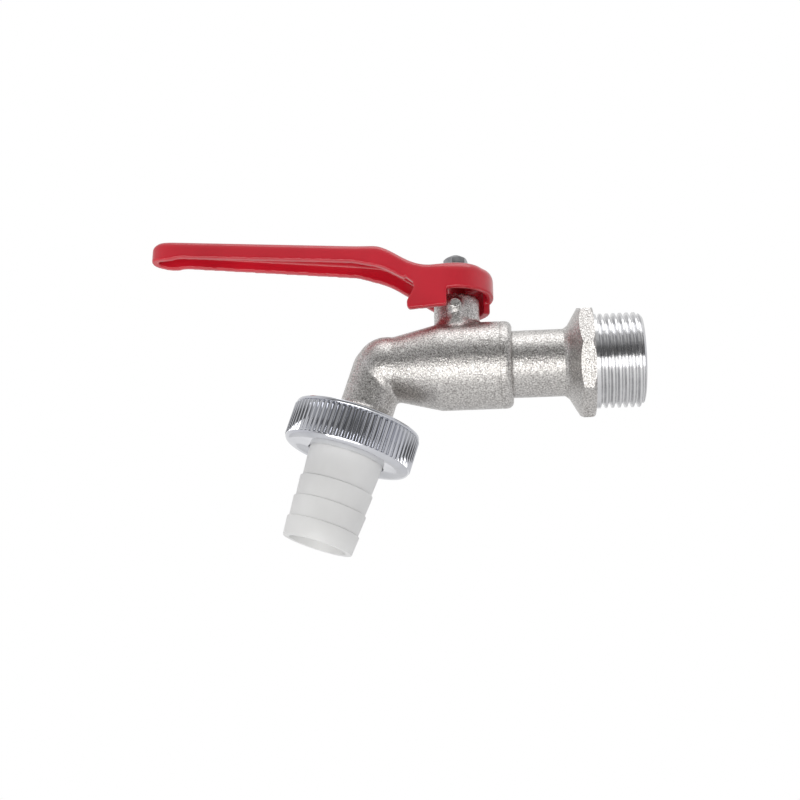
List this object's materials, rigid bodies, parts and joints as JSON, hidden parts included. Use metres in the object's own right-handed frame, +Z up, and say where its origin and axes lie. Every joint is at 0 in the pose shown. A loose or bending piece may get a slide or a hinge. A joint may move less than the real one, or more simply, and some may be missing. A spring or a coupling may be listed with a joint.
{
  "type": "ball drain valve",
  "caption": "Quarter-turn ball drain valve with a male threaded inlet, lever handle, turned-down spout and knurled union nut holding a barbed hose tail.",
  "frame": {"origin": "on the inlet axis in the plane of the octagonal wrench shoulder, where the male inlet thread begins", "axes": "+X out of the inlet along its thread, +Z up the stem, body and lever along -X, stop peg on the -Y side"},
  "size_m": [0.1422, 0.0364, 0.0951],
  "materials": {
    "cast_nickel": "nickel-plated brass, blasted",
    "turned_nickel": "nickel-plated brass, turned bright",
    "chromed_brass": "chrome-plated brass, knurled",
    "polished_ball": "chrome-plated brass, polished",
    "red_enamel": "glossy red enamel on pressed steel",
    "zinc_steel": "zinc-plated steel",
    "ptfe": "white PTFE",
    "seal_rubber": "black nitrile rubber",
    "hose_tail_plastic": "white moulded plastic"
  },
  "bodies": {
    "body": {"valve_body": "cast_nickel", "inlet_connector": "turned_nickel", "connector_seal": "ptfe", "seat_inlet": "ptfe", "seat_outlet": "ptfe", "stem_thrust_washer": "ptfe"},
    "handle": {"lever": "red_enamel", "lever_washer": "zinc_steel", "lever_nut": "zinc_steel", "stem": "turned_nickel", "ball": "polished_ball", "stem_o_ring_lower": "seal_rubber", "stem_o_ring_upper": "seal_rubber"},
    "tail": {"hose_tail": "hose_tail_plastic", "union_gasket": "seal_rubber"},
    "nut": {"union_nut": "chromed_brass"}
  },
  "joints": [
    {"name": "lever_turn", "type": "hinge", "parent": "body", "child": "handle", "pos_m": [-0.0378, 0, 0.0285], "axis": [0, 0, 1], "range_deg": [-90, 0]},
    {"name": "tail_draw", "type": "slide", "parent": "body", "child": "tail", "axis": [-0.3007, 0, -0.9537], "range_m": [0, 0.0075]},
    {"name": "nut_turn", "type": "hinge", "parent": "tail", "child": "nut", "pos_m": [-0.06746, 0, -0.01907], "axis": [-0.3007, 0, -0.9537], "range_deg": [0, 1165]}
  ],
  "couplings": [
    {"joint": "tail_draw", "follows": "nut_turn", "m_per_rad": 0.00036749}
  ]
}
